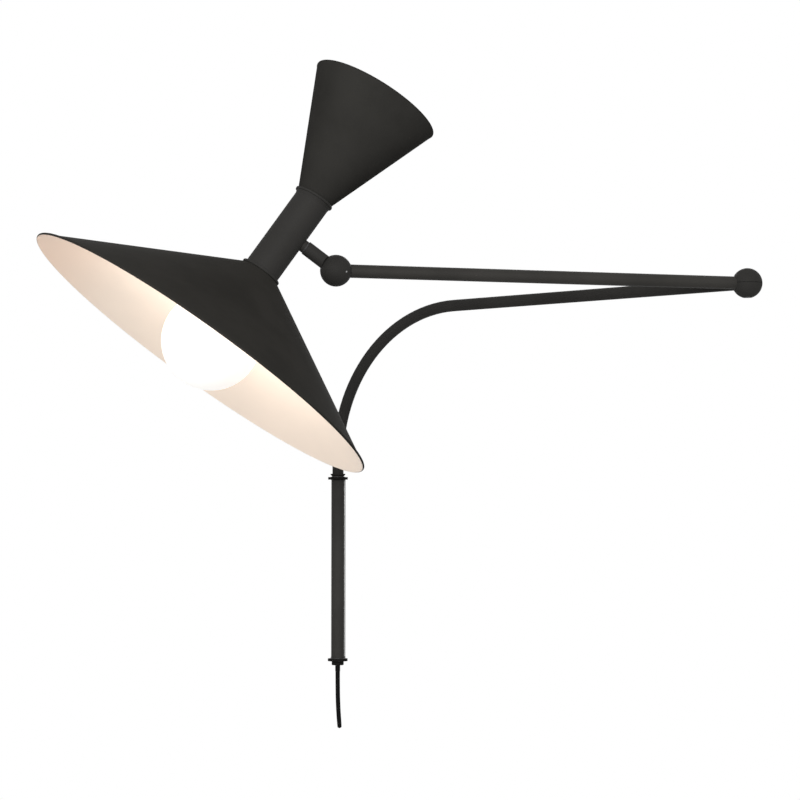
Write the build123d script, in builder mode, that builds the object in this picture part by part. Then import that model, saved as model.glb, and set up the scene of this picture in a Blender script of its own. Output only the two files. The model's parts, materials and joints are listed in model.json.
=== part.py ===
"""Swing arm wall lamp with a large shade below and a small shade above, in millimetres.

The wall is the plane Y = 0 and the lamp stands in front of it, towards -Y. The origin is the middle of
the wall rail's back. The lamp is drawn in its folded rest pose, with both arms level.
"""

from build123d import *
from math import acos, asin, atan2, cos, degrees, radians, sin, sqrt, tan
import os

os.makedirs("parts", exist_ok=True)

# Clearances
FIT = 0.03                    # between pieces that are fixed to each other
RUN = 0.05                    # between a shaft and its bearing, and between faces that turn on each other
CLEAR = 0.4                   # between moving pieces that must not touch

# Wall rail and lugs
STANDOFF = 36.0               # wall to pivot axis
LUG_SPACING = 179.0           # middle of one lug to middle of the other
LUG_THICKNESS = 2.4
EYE_RADIUS = 9.75
EYE_ROOT_FILLET = 3.0
RAIL_WIDTH = 14.4
RAIL_THICKNESS = 6.0
RAIL_EDGE = 1.0
WALL_HOLE_SPACING = 110.0
WALL_HOLE_RADIUS = 2.25
WALL_HOLE_SINK_RADIUS = 4.4
LUG_SCREW_RADIUS = 1.5
LUG_SCREW_LENGTH = 12.0
LUG_SCREW_HEAD_RADIUS = 2.6
LUG_SCREW_HEAD_HEIGHT = 1.8

# Pivot tube, its spigots and bearings
PIVOT_RADIUS = 6.3
SPIGOT_RADIUS = 5.0
SPIGOT_BORE = 2.8
SPIGOT_DEPTH = 25.0           # how far each spigot reaches into the pivot tube
BUSH_WALL = 0.9
BUSH_FLANGE_WIDTH = 1.0
BUSH_FLANGE_THICKNESS = 0.5
COLLAR_FOOT = 0.6             # flat ring of the flared collar that rests on the upper bush
COLLAR_RADIUS = 7.3
COLLAR_FLARE_HEIGHT = 1.9
COLLAR_LIP_HEIGHT = 0.8
PLUG_LENGTH = 12.0            # plug of the pivot head in the arm tube
SET_SCREW_RADIUS = 1.5
SET_SCREW_INSET = 0.25        # below the tube's surface
SET_SCREW_PLACE = 12.0        # from the end of the pivot tube
END_NUT_RADIUS = 5.95
END_NUT_HEIGHT = 3.6
END_NUT_FLOOR = 0.9
END_NUT_CHAMFER = 0.5
THREAD_RADIUS = 4.2           # threaded end of the pivot foot
THREAD_LENGTH = 1.4
RELIEF_RADIUS = 2.45
RELIEF_LENGTH = 6.0           # below the end nut
RELIEF_FLANGE_RADIUS = 3.9
RELIEF_FLANGE_HEIGHT = 1.1

# Cord and inner leads
CORD_RADIUS = 2.2
FLEX_RADIUS = 1.7
LEAD_RADIUS = 0.9
LEAD_BEND = 6.0
CORD_DROPS = (0.0, 17.5, 36.5, 56.0)     # heights of the route's points below the strain relief
CORD_DRIFTS = (0.0, 0.0, 0.55, 2.0)      # their sideways places
CORD_END_ROUND = 1.8          # rounding of the cord's free end
CORD_BEND_SHARE = 0.45        # share of the shorter run beside a bend that its arc takes up

# Arms
ARM_HEIGHT = 252.7            # arm axes above the middle of the wall rail
TUBE_RADIUS = 5.5
TUBE_WALL = 1.5
BEND_START = 13.75            # straight rise of the lower arm above the collar
LOWER_REACH = 463.5           # pivot axis to elbow
LOWER_TURN = 39.65            # lower arm's angle to the wall
UPPER_REACH = 364.4           # elbow to head ball
UPPER_TURN = 14.55            # upper arm's angle to the wall

# Ball knuckles, one at the elbow and one at the head
BALL_RADIUS = 13.0
BALL_WALL = 3.0
SEAM = 0.3
HUB_RADIUS = 5.0
WASHER_THICKNESS = 1.0
KNUCKLE_SCREW_RADIUS = 2.0
KNUCKLE_SCREW_DEPTH = 9.2     # end of the screw's hole above the seam
KNUCKLE_HEAD_RADIUS = 3.5
KNUCKLE_HEAD_HEIGHT = 2.5
KNUCKLE_SOCKET_WIDTH = 3.0
KNUCKLE_SOCKET_DEPTH = 1.4
KNUCKLE_POCKET_FLOOR = 8.6    # seat of the spring washer above the seam
SPRING_WASHER_HEIGHT = 0.8
WINDOW_RADIUS = 3.2           # lead hole from a tube into its dome
STOP_SCREW_RADIUS = 0.8
STOP_SCREW_ASIDE = 6.2        # along the arm, from the ball's middle
STOP_SCREW_BELOW = 1.8

# Stem and swivel
STEM_RISE = 35.5              # stem's angle above the upper arm
STEM_RADIUS = 5.9
STEM_REACH = 49.1             # head ball to the middle of the lamp body
HEAD_TURN = 1.17              # turn of the lamp body on the stem at rest
SWIVEL_RADIUS = 5.2
SWIVEL_BOSS_HEIGHT = 2.0
SWIVEL_WASHER_HEIGHT = 1.2
SWIVEL_BOLT_RADIUS = 3.0
SWIVEL_BOLT_BORE = 2.1
SWIVEL_BOLT_PLUG = 12.0
SWIVEL_BOLT_END = 0.6         # past the nut
SWIVEL_NUT_RADIUS = 5.5
SWIVEL_NUT_HEIGHT = 2.5
SADDLE_LEAST = 0.2            # saddle washer's thickness at its rim

# Lamp body and the large shade
BODY_RADIUS = 15.0
BODY_WALL = 1.5
BODY_BELOW = 37.5             # body tube's ends, from the stem's axis
BODY_ABOVE = 33.0
SHEET = 1.0
SHADE_HEM_RADIUS = 1.2
SHADE_RING_RADIUS = 17.4
SHADE_RING_HEIGHT = 2.1
SHADE_RING_EDGE = 0.8
SHADE_RADIUS = 160.0
SHADE_NECK_RADIUS = 16.8
SHADE_DROP = 124.0            # rim below the stem's axis
HOLDER_BASE_RADIUS = 12.8
HOLDER_BASE_HEIGHT = 17.0
HOLDER_SKIRT_RADIUS = 18.0
HOLDER_SKIRT_HEIGHT = 24.0
HOLDER_SHOULDER = 2.0         # height of the skirt's sloping shoulder
HOLDER_FLOOR = 2.5
GLOBE_RADIUS = 40.0
GLOBE_DROP = 108.0            # globe's middle below the stem's axis
GLOBE_NECK_RADIUS = 14.0
GLASS = 1.2
CAP_RADIUS = 13.2
CAP_LENGTH = 25.0
CAP_CONTACT_RADIUS = 4.0
CAP_CONTACT_HEIGHT = 1.2
CAP_SHOULDER = 2.0

# Small shade above
UPPER_LEAN = 3.95             # small shade's lean from the body tube, away from the head ball
UPPER_RING_HEIGHT = 5.0
UPPER_RING_FLARE = 0.8        # ring's widening below its bead
UPPER_BEAD_RADIUS = 16.9
UPPER_BEAD_HEIGHT = 2.2
UPPER_BEAD_EDGE = 0.7
UPPER_SHADE_RADIUS = 55.8
UPPER_SHADE_NECK_RADIUS = 15.3
UPPER_SHADE_HEM_RADIUS = 0.6
UPPER_SHADE_RISE = 134.9      # rim above the stem's axis
UPPER_HOLDER_RADIUS = 12.3
UPPER_HOLDER_BASE = 20.0
UPPER_HOLDER_LENGTH = 42.0
UPPER_HOLDER_FLOOR = 26.0
UPPER_NUT_RADIUS = 13.8
UPPER_NUT_HEIGHT = 3.4
UPPER_BULB_RADIUS = 22.5
UPPER_BULB_NECK_RADIUS = 7.6
UPPER_CAP_RADIUS = 6.9
UPPER_CAP_LENGTH = 20.0


def turned(start, axis, side):
    """Plane of a turned piece's profile: its X is the radius and its Y runs along the axis."""
    return Plane(origin=start, x_dir=side, z_dir=side.cross(axis))


def finish(piece, name):
    """Label a finished piece and write it."""
    piece.part.label = name
    export_step(piece.part, f"parts/{name}.step")


# Frames of the bodies
RIGHT = Vector(1, 0, 0)
BACK = Vector(0, 1, 0)
UP = Vector(0, 0, 1)
pivot = Vector(0, -STANDOFF, 0)
along_lower = Vector(cos(radians(LOWER_TURN)), -sin(radians(LOWER_TURN)), 0)
along_upper = Vector(-cos(radians(UPPER_TURN)), -sin(radians(UPPER_TURN)), 0)
elbow = pivot + along_lower * LOWER_REACH + UP * ARM_HEIGHT
head_ball = elbow + along_upper * UPPER_REACH
rear = along_upper.cross(UP)
front = rear * -1
along_stem = along_upper * cos(radians(STEM_RISE)) + UP * sin(radians(STEM_RISE))
stem_up = UP * cos(radians(STEM_RISE)) - along_upper * sin(radians(STEM_RISE))
head_up = stem_up * cos(radians(HEAD_TURN)) + front * sin(radians(HEAD_TURN))
head_down = head_up * -1
body_middle = head_ball + along_stem * STEM_REACH
body_end = body_middle + head_up * BODY_ABOVE
upper_up = head_up * cos(radians(UPPER_LEAN)) + along_stem * sin(radians(UPPER_LEAN))
upper_side = along_stem * cos(radians(UPPER_LEAN)) - head_up * sin(radians(UPPER_LEAN))
upper_middle = body_end - upper_up * BODY_ABOVE

pivot_axis = Axis(pivot, UP)
pivot_plane = turned(pivot, UP, RIGHT)
lower_arm_plane = turned(pivot, UP, along_lower)
stem_axis = Axis(head_ball, along_stem)
stem_plane = turned(head_ball, along_stem, head_down)
head_axis = Axis(body_middle, head_up)
head_down_plane = turned(body_middle, head_down, along_stem)
upper_axis = Axis(upper_middle, upper_up)
upper_plane = turned(upper_middle, upper_up, upper_side)

# Heights along the pivot axis
lug_top = LUG_SPACING / 2 + LUG_THICKNESS / 2
lug_inside = LUG_SPACING / 2 - LUG_THICKNESS / 2
bush_radius = SPIGOT_RADIUS + RUN + BUSH_WALL
bush_seat = bush_radius + FIT
pivot_top = lug_inside - CLEAR
pivot_bottom = -lug_inside + BUSH_FLANGE_THICKNESS + RUN
collar_bottom = lug_top + BUSH_FLANGE_THICKNESS + RUN
collar_top = collar_bottom + COLLAR_FLARE_HEIGHT + COLLAR_LIP_HEIGHT
nut_top = -lug_top - CLEAR
nut_bottom = nut_top - END_NUT_HEIGHT
tube_bore = TUBE_RADIUS - TUBE_WALL
bend_radius = ARM_HEIGHT - collar_top - BEND_START


# The wall rail has countersunk holes for the wall screws and a threaded hole in each end
rail_height = 2 * lug_inside
lug_screw_place = (0, -RAIL_THICKNESS / 2)
with BuildPart() as wall_rail:
    with BuildSketch(Plane.XZ):
        Rectangle(RAIL_WIDTH, rail_height)
    extrude(amount=RAIL_THICKNESS)
    fillet(wall_rail.faces().sort_by(Axis.Y)[0].edges().filter_by(Axis.Z), RAIL_EDGE)
    room_side = Plane.XZ.offset(RAIL_THICKNESS)
    with Locations(*[room_side.location * Pos(0, end * WALL_HOLE_SPACING / 2) for end in (1, -1)]):
        CounterSinkHole(WALL_HOLE_RADIUS, WALL_HOLE_SINK_RADIUS, RAIL_THICKNESS)
    for end in (1, -1):
        with BuildSketch(Plane.XY.offset(end * rail_height / 2)):
            with Locations(lug_screw_place):
                Circle(LUG_SCREW_RADIUS + FIT)
        extrude(amount=-end * LUG_SCREW_LENGTH, mode=Mode.SUBTRACT)
finish(wall_rail, "wall_rail")


# Each lug is a plate with a round eye for the pivot
for name, end in (("upper_lug", 1), ("lower_lug", -1)):
    with BuildPart() as lug:
        with BuildSketch(Plane.XY.offset(end * LUG_SPACING / 2 - LUG_THICKNESS / 2)) as plate:
            with Locations((0, -STANDOFF / 2)):
                Rectangle(RAIL_WIDTH, STANDOFF)
            with Locations((0, -STANDOFF)):
                Circle(EYE_RADIUS)
            fillet(plate.vertices().group_by(Axis.Y)[0], EYE_ROOT_FILLET)
            with Locations((0, -STANDOFF)):
                Circle(bush_seat, mode=Mode.SUBTRACT)
            with Locations(lug_screw_place):
                Circle(LUG_SCREW_RADIUS + FIT, mode=Mode.SUBTRACT)
        extrude(amount=LUG_THICKNESS)
    finish(lug, name)


with BuildPart() as lug_screws:
    for end in (1, -1):
        seat = Vector(*lug_screw_place, end * (lug_top + FIT))
        with BuildSketch(turned(seat, UP * end, RIGHT)):
            with BuildLine():
                Polyline(
                    (0, LUG_SCREW_HEAD_HEIGHT),
                    (LUG_SCREW_HEAD_RADIUS, LUG_SCREW_HEAD_HEIGHT),
                    (LUG_SCREW_HEAD_RADIUS, 0),
                    (LUG_SCREW_RADIUS, 0),
                    (LUG_SCREW_RADIUS, -LUG_SCREW_LENGTH),
                    (0, -LUG_SCREW_LENGTH),
                    close=True,
                )
            make_face()
        revolve(axis=Axis(seat, UP))
finish(lug_screws, "lug_screws")


# The bushes line the eyes, and their flanges carry the collar above and the pivot tube below
for name, end in (("upper_bush", 1), ("lower_bush", -1)):
    middle = end * LUG_SPACING / 2
    top = middle + LUG_THICKNESS / 2
    with BuildPart() as bush:
        with BuildSketch(pivot_plane):
            with BuildLine():
                Polyline(
                    (SPIGOT_RADIUS + RUN, middle - LUG_THICKNESS / 2),
                    (bush_radius, middle - LUG_THICKNESS / 2),
                    (bush_radius, top),
                    (bush_radius + BUSH_FLANGE_WIDTH, top),
                    (bush_radius + BUSH_FLANGE_WIDTH, top + BUSH_FLANGE_THICKNESS),
                    (SPIGOT_RADIUS + RUN, top + BUSH_FLANGE_THICKNESS),
                    close=True,
                )
            make_face()
        revolve(axis=pivot_axis)
    finish(bush, name)


# The pivot tube stands between the lugs, locked to its two spigots by set screws on the wall side
set_screw_heights = (pivot_top - SET_SCREW_PLACE, pivot_bottom + SET_SCREW_PLACE)
with BuildPart() as pivot_tube:
    with BuildSketch(Plane(origin=pivot + UP * pivot_bottom)):
        Circle(PIVOT_RADIUS)
        Circle(SPIGOT_RADIUS + FIT, mode=Mode.SUBTRACT)
    extrude(amount=pivot_top - pivot_bottom)
    for height in set_screw_heights:
        with BuildSketch(Plane(origin=pivot + UP * height, z_dir=BACK)):
            Circle(SET_SCREW_RADIUS + FIT)
        extrude(amount=PIVOT_RADIUS, mode=Mode.SUBTRACT)
finish(pivot_tube, "pivot_tube")


with BuildPart() as pivot_set_screws:
    for height in set_screw_heights:
        with BuildSketch(Plane(origin=pivot + UP * height + BACK * (SPIGOT_RADIUS + FIT), z_dir=BACK)):
            Circle(SET_SCREW_RADIUS)
        extrude(amount=PIVOT_RADIUS - SPIGOT_RADIUS - SET_SCREW_INSET)
finish(pivot_set_screws, "pivot_set_screws")


# The pivot head carries the flared collar and plugs into the arm tube
with BuildPart() as pivot_head:
    with BuildSketch(pivot_plane):
        with BuildLine():
            Polyline(
                (SPIGOT_BORE, pivot_top - SPIGOT_DEPTH),
                (SPIGOT_RADIUS, pivot_top - SPIGOT_DEPTH),
                (SPIGOT_RADIUS, collar_bottom),
                (SPIGOT_RADIUS + COLLAR_FOOT, collar_bottom),
                (COLLAR_RADIUS, collar_bottom + COLLAR_FLARE_HEIGHT),
                (COLLAR_RADIUS, collar_top),
                (tube_bore - FIT, collar_top),
                (tube_bore - FIT, collar_top + PLUG_LENGTH),
                (SPIGOT_BORE, collar_top + PLUG_LENGTH),
                close=True,
            )
        make_face()
    revolve(axis=pivot_axis)
finish(pivot_head, "pivot_head")


# The pivot foot passes through the lower bush and takes the end nut
with BuildPart() as pivot_foot:
    with BuildSketch(pivot_plane):
        with BuildLine():
            Polyline(
                (SPIGOT_BORE, pivot_bottom + SPIGOT_DEPTH),
                (SPIGOT_RADIUS, pivot_bottom + SPIGOT_DEPTH),
                (SPIGOT_RADIUS, nut_top + FIT),
                (THREAD_RADIUS, nut_top + FIT),
                (THREAD_RADIUS, nut_top - THREAD_LENGTH),
                (SPIGOT_BORE, nut_top - THREAD_LENGTH),
                close=True,
            )
        make_face()
    revolve(axis=pivot_axis)
finish(pivot_foot, "pivot_foot")


nut_inside = nut_bottom + END_NUT_FLOOR
with BuildPart() as end_nut:
    with BuildSketch(pivot_plane):
        with BuildLine():
            Polyline(
                (THREAD_RADIUS + FIT, nut_top),
                (END_NUT_RADIUS, nut_top),
                (END_NUT_RADIUS, nut_bottom),
                (RELIEF_RADIUS + FIT, nut_bottom),
                (RELIEF_RADIUS + FIT, nut_inside),
                (THREAD_RADIUS + FIT, nut_inside),
                close=True,
            )
        make_face()
    revolve(axis=pivot_axis)
    bottom_edges = end_nut.edges().filter_by(GeomType.CIRCLE).group_by(Axis.Z)[0]
    chamfer(bottom_edges.sort_by(SortBy.RADIUS)[-1], END_NUT_CHAMFER)
finish(end_nut, "end_nut")


# The strain relief is moulded on the cord and held by its flange inside the end nut
relief_bottom = nut_bottom - RELIEF_LENGTH
with BuildPart() as strain_relief:
    with BuildSketch(pivot_plane):
        with BuildLine():
            Polyline(
                (0, nut_inside + FIT + RELIEF_FLANGE_HEIGHT),
                (RELIEF_FLANGE_RADIUS, nut_inside + FIT + RELIEF_FLANGE_HEIGHT),
                (RELIEF_FLANGE_RADIUS, nut_inside + FIT),
                (RELIEF_RADIUS, nut_inside + FIT),
                (RELIEF_RADIUS, relief_bottom),
                (0, relief_bottom),
                close=True,
            )
        make_face()
    revolve(axis=pivot_axis)
finish(strain_relief, "strain_relief")


# The cord hangs from the strain relief, on straight runs joined by arcs as large as the runs allow
cord_points = [
    pivot + Vector(drift, 0, relief_bottom - drop) for drift, drop in zip(CORD_DRIFTS, CORD_DROPS)
]
cord_runs = [after - before for before, after in zip(cord_points, cord_points[1:])]
cord_radii = [
    CORD_BEND_SHARE * min(before.length, after.length) / tan(radians(before.get_angle(after) / 2))
    for before, after in zip(cord_runs, cord_runs[1:])
]
with BuildPart() as cord:
    with BuildLine() as cord_route:
        FilletPolyline(*cord_points, radius=cord_radii)
    with BuildSketch(Plane(origin=cord_points[0], z_dir=cord_runs[0])):
        Circle(CORD_RADIUS)
    sweep()
    fillet(cord.faces().sort_by(Axis.Z)[0].edges(), CORD_END_ROUND)
print("cord length", round(cord_route.wires()[0].length, 2))
finish(cord, "cord")


def knuckle_relief(middle, pole):
    """Place of the half ball that a tube's end must clear, on the pole's side of the seam."""
    return Plane(origin=middle, z_dir=pole).location


# The lower arm rises from the collar, bends over and ends in a saddle on the lower half of the elbow
with BuildPart() as lower_arm_tube:
    with BuildLine(lower_arm_plane):
        FilletPolyline(
            (0, collar_top + FIT), (0, ARM_HEIGHT), (LOWER_REACH, ARM_HEIGHT), radius=bend_radius
        )
    with BuildSketch(Plane(origin=pivot + UP * (collar_top + FIT))):
        Circle(TUBE_RADIUS)
        Circle(tube_bore, mode=Mode.SUBTRACT)
    sweep()
    with Locations(elbow):
        Sphere(BALL_RADIUS + FIT, mode=Mode.SUBTRACT)
    with Locations(knuckle_relief(elbow, UP)):
        Sphere(BALL_RADIUS + CLEAR, arc_size1=0, arc_size2=90, mode=Mode.SUBTRACT)
finish(lower_arm_tube, "lower_arm_tube")


flex_start = nut_inside + FIT + RELIEF_FLANGE_HEIGHT + FIT
with BuildPart() as lower_arm_flex:
    with BuildLine(lower_arm_plane):
        FilletPolyline(
            (0, flex_start), (0, ARM_HEIGHT), (LOWER_REACH - BALL_RADIUS, ARM_HEIGHT), radius=bend_radius
        )
    with BuildSketch(Plane(origin=pivot + UP * flex_start)):
        Circle(FLEX_RADIUS)
    sweep()
finish(lower_arm_flex, "lower_arm_flex")


# The upper arm is saddled on the upper half of the elbow and on the rear half of the head ball
with BuildPart() as upper_arm_tube:
    with BuildSketch(Plane(origin=elbow, z_dir=along_upper)):
        Circle(TUBE_RADIUS)
        Circle(tube_bore, mode=Mode.SUBTRACT)
    extrude(amount=UPPER_REACH)
    with Locations(elbow, head_ball):
        Sphere(BALL_RADIUS + FIT, mode=Mode.SUBTRACT)
    with Locations(knuckle_relief(elbow, UP * -1), knuckle_relief(head_ball, front)):
        Sphere(BALL_RADIUS + CLEAR, arc_size1=0, arc_size2=90, mode=Mode.SUBTRACT)
finish(upper_arm_tube, "upper_arm_tube")


with BuildPart() as upper_arm_flex:
    with BuildSketch(Plane(origin=elbow + along_upper * BALL_RADIUS, z_dir=along_upper)):
        Circle(FLEX_RADIUS)
    extrude(amount=UPPER_REACH - 2 * BALL_RADIUS)
finish(upper_arm_flex, "upper_arm_flex")


# Both ball knuckles are alike: a tapped dome, a clamped dome, a friction washer, a screw and its washer
cavity_radius = BALL_RADIUS - BALL_WALL
hub_face = WASHER_THICKNESS / 2 + RUN
seam_side = SEAM / 2
screw_hole = KNUCKLE_SCREW_RADIUS + RUN
pocket_radius = KNUCKLE_HEAD_RADIUS + CLEAR
washer_top = KNUCKLE_POCKET_FLOOR + RUN + SPRING_WASHER_HEIGHT
cavity_hub_angle = degrees(acos(HUB_RADIUS / cavity_radius))
cavity_span = degrees(asin(seam_side / cavity_radius)) - cavity_hub_angle
ball_seam_angle = degrees(asin(seam_side / BALL_RADIUS))
pocket_angle = degrees(acos(pocket_radius / BALL_RADIUS))
knuckles = (
    ("elbow", elbow, UP, along_lower, ("upper", along_upper), ("lower", along_lower * -1)),
    ("tilt", head_ball, front, UP, ("front", along_stem), ("rear", along_upper * -1)),
)
stop_screw_out = front * sqrt(BALL_RADIUS ** 2 - STOP_SCREW_ASIDE ** 2 - STOP_SCREW_BELOW ** 2)
stop_screw_place = stop_screw_out - along_upper * STOP_SCREW_ASIDE - UP * STOP_SCREW_BELOW
stop_screw_way = stop_screw_place.normalized()

for knuckle, middle, pole, side, (tapped_half, tapped_way), (clamped_half, clamped_way) in knuckles:
    ball_axis = Axis(middle, pole)
    tapped_plane = turned(middle, pole, side)
    clamped_plane = turned(middle, pole * -1, side)

    with BuildPart() as tapped_dome:
        with BuildSketch(tapped_plane):
            with BuildLine():
                outside = CenterArc((0, 0), BALL_RADIUS, ball_seam_angle, 90 - ball_seam_angle)
                inside = CenterArc((0, 0), cavity_radius, cavity_hub_angle, cavity_span)
                Polyline(
                    outside @ 1,
                    (0, KNUCKLE_SCREW_DEPTH),
                    (KNUCKLE_SCREW_RADIUS + FIT, KNUCKLE_SCREW_DEPTH),
                    (KNUCKLE_SCREW_RADIUS + FIT, hub_face),
                    (HUB_RADIUS, hub_face),
                    inside @ 0,
                )
                Line(inside @ 1, outside @ 0)
            make_face()
        revolve(axis=ball_axis)
        with BuildSketch(Plane(origin=middle + tapped_way * (HUB_RADIUS + RUN), z_dir=tapped_way)):
            Circle(WINDOW_RADIUS)
        extrude(amount=BALL_RADIUS, mode=Mode.SUBTRACT)
        if knuckle == "tilt":
            hole_start = cavity_radius - STOP_SCREW_RADIUS / 2
            with BuildSketch(Plane(origin=middle + stop_screw_way * hole_start, z_dir=stop_screw_way)):
                Circle(STOP_SCREW_RADIUS + FIT)
            extrude(amount=BALL_WALL + STOP_SCREW_RADIUS, mode=Mode.SUBTRACT)
    finish(tapped_dome, f"{knuckle}_{tapped_half}_dome")

    with BuildPart() as clamped_dome:
        with BuildSketch(clamped_plane):
            with BuildLine():
                outside = CenterArc((0, 0), BALL_RADIUS, ball_seam_angle, pocket_angle - ball_seam_angle)
                inside = CenterArc((0, 0), cavity_radius, cavity_hub_angle, cavity_span)
                Polyline(
                    outside @ 1,
                    (pocket_radius, KNUCKLE_POCKET_FLOOR),
                    (screw_hole, KNUCKLE_POCKET_FLOOR),
                    (screw_hole, hub_face),
                    (HUB_RADIUS, hub_face),
                    inside @ 0,
                )
                Line(inside @ 1, outside @ 0)
            make_face()
        revolve(axis=ball_axis)
        with BuildSketch(Plane(origin=middle + clamped_way * (HUB_RADIUS + RUN), z_dir=clamped_way)):
            Circle(WINDOW_RADIUS)
        extrude(amount=BALL_RADIUS, mode=Mode.SUBTRACT)
    finish(clamped_dome, f"{knuckle}_{clamped_half}_dome")

    with BuildPart() as friction_washer:
        with BuildSketch(Plane(origin=middle - pole * (WASHER_THICKNESS / 2), z_dir=pole)):
            Circle(HUB_RADIUS)
            Circle(screw_hole, mode=Mode.SUBTRACT)
        extrude(amount=WASHER_THICKNESS)
    finish(friction_washer, f"{knuckle}_friction_washer")

    with BuildPart() as spring_washer:
        with BuildSketch(clamped_plane):
            with Locations(((screw_hole + KNUCKLE_HEAD_RADIUS) / 2, washer_top - SPRING_WASHER_HEIGHT / 2)):
                Rectangle(KNUCKLE_HEAD_RADIUS - screw_hole, SPRING_WASHER_HEIGHT)
        revolve(axis=ball_axis)
    finish(spring_washer, f"{knuckle}_spring_washer")

    with BuildPart() as pivot_screw:
        with BuildSketch(clamped_plane):
            with BuildLine():
                Polyline(
                    (0, -KNUCKLE_SCREW_DEPTH + CLEAR),
                    (KNUCKLE_SCREW_RADIUS, -KNUCKLE_SCREW_DEPTH + CLEAR),
                    (KNUCKLE_SCREW_RADIUS, washer_top + FIT),
                    (KNUCKLE_HEAD_RADIUS, washer_top + FIT),
                    (KNUCKLE_HEAD_RADIUS, washer_top + KNUCKLE_HEAD_HEIGHT),
                    (0, washer_top + KNUCKLE_HEAD_HEIGHT),
                    close=True,
                )
            make_face()
        revolve(axis=ball_axis)
        with BuildSketch(Plane(origin=middle - pole * (washer_top + KNUCKLE_HEAD_HEIGHT), z_dir=pole)):
            RegularPolygon(KNUCKLE_SOCKET_WIDTH / 2, 6, major_radius=False)
        extrude(amount=KNUCKLE_SOCKET_DEPTH, mode=Mode.SUBTRACT)
    finish(pivot_screw, f"{knuckle}_pivot_screw")


# The stop screw sits flush in the front half of the head ball
with BuildPart() as tilt_stop_screw:
    with BuildSketch(Plane(origin=head_ball + stop_screw_way * cavity_radius, z_dir=stop_screw_way)):
        Circle(STOP_SCREW_RADIUS)
    extrude(amount=BALL_WALL - FIT)
finish(tilt_stop_screw, "tilt_stop_screw")


# Places along the stem, from the middle of the head ball
body_face = STEM_REACH - BODY_RADIUS
boss_face = body_face - SWIVEL_BOSS_HEIGHT
stem_end = boss_face - SWIVEL_WASHER_HEIGHT - 2 * RUN
body_bore = BODY_RADIUS - BODY_WALL
bolt_hole = SWIVEL_BOLT_RADIUS + RUN
saddle_flat = STEM_REACH - sqrt(body_bore ** 2 - SWIVEL_NUT_RADIUS ** 2) + SADDLE_LEAST
nut_seat = saddle_flat + RUN
bolt_end = nut_seat + SWIVEL_NUT_HEIGHT + SWIVEL_BOLT_END

with BuildPart() as stem_tube:
    with BuildSketch(Plane(origin=head_ball, z_dir=along_stem)):
        Circle(STEM_RADIUS)
        Circle(tube_bore, mode=Mode.SUBTRACT)
    extrude(amount=stem_end)
    with Locations(head_ball):
        Sphere(BALL_RADIUS + FIT, mode=Mode.SUBTRACT)
    with Locations(knuckle_relief(head_ball, rear)):
        Sphere(BALL_RADIUS + CLEAR, arc_size1=0, arc_size2=90, mode=Mode.SUBTRACT)
finish(stem_tube, "stem_tube")


# The hollow swivel bolt is fixed in the stem and runs in the boss and the wall of the lamp body
with BuildPart() as swivel_bolt:
    with BuildSketch(stem_plane):
        with BuildLine():
            Polyline(
                (SWIVEL_BOLT_BORE, stem_end - SWIVEL_BOLT_PLUG),
                (tube_bore - FIT, stem_end - SWIVEL_BOLT_PLUG),
                (tube_bore - FIT, stem_end),
                (SWIVEL_BOLT_RADIUS, stem_end),
                (SWIVEL_BOLT_RADIUS, bolt_end),
                (SWIVEL_BOLT_BORE, bolt_end),
                close=True,
            )
        make_face()
    revolve(axis=stem_axis)
finish(swivel_bolt, "swivel_bolt")


with BuildPart() as swivel_nut:
    with BuildSketch(Plane(origin=head_ball + along_stem * nut_seat, z_dir=along_stem)):
        RegularPolygon(SWIVEL_NUT_RADIUS, 6)
        Circle(SWIVEL_BOLT_RADIUS + FIT, mode=Mode.SUBTRACT)
    extrude(amount=SWIVEL_NUT_HEIGHT)
finish(swivel_nut, "swivel_nut")


with BuildPart() as stem_flex:
    with BuildSketch(Plane(origin=head_ball + along_stem * BALL_RADIUS, z_dir=along_stem)):
        Circle(FLEX_RADIUS)
    extrude(amount=bolt_end - BALL_RADIUS)
finish(stem_flex, "stem_flex")


with BuildPart() as swivel_washer:
    with BuildSketch(Plane(origin=head_ball + along_stem * (stem_end + RUN), z_dir=along_stem)):
        Circle(SWIVEL_RADIUS)
        Circle(bolt_hole, mode=Mode.SUBTRACT)
    extrude(amount=SWIVEL_WASHER_HEIGHT)
finish(swivel_washer, "swivel_washer")


# The boss is hollowed to the outside of the body tube, and the saddle washer rounded to its inside
with BuildPart() as swivel_boss:
    with BuildSketch(Plane(origin=head_ball + along_stem * boss_face, z_dir=along_stem)):
        Circle(SWIVEL_RADIUS)
        Circle(bolt_hole, mode=Mode.SUBTRACT)
    extrude(amount=BODY_RADIUS)
    with BuildSketch(Plane(origin=body_middle + head_down * BODY_RADIUS, z_dir=head_up)):
        Circle(BODY_RADIUS + FIT)
    extrude(amount=2 * BODY_RADIUS, mode=Mode.SUBTRACT)
finish(swivel_boss, "swivel_boss")


with BuildPart() as saddle_washer:
    with BuildSketch(Plane(origin=body_middle + head_down * BODY_RADIUS, z_dir=head_up)):
        Circle(body_bore - FIT)
    extrude(amount=2 * BODY_RADIUS)
    with BuildSketch(Plane(origin=head_ball + along_stem * saddle_flat, z_dir=along_stem * -1)):
        Circle(SWIVEL_NUT_RADIUS)
        Circle(bolt_hole, mode=Mode.SUBTRACT)
    extrude(amount=BODY_RADIUS, mode=Mode.INTERSECT)
finish(saddle_washer, "saddle_washer")


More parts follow.
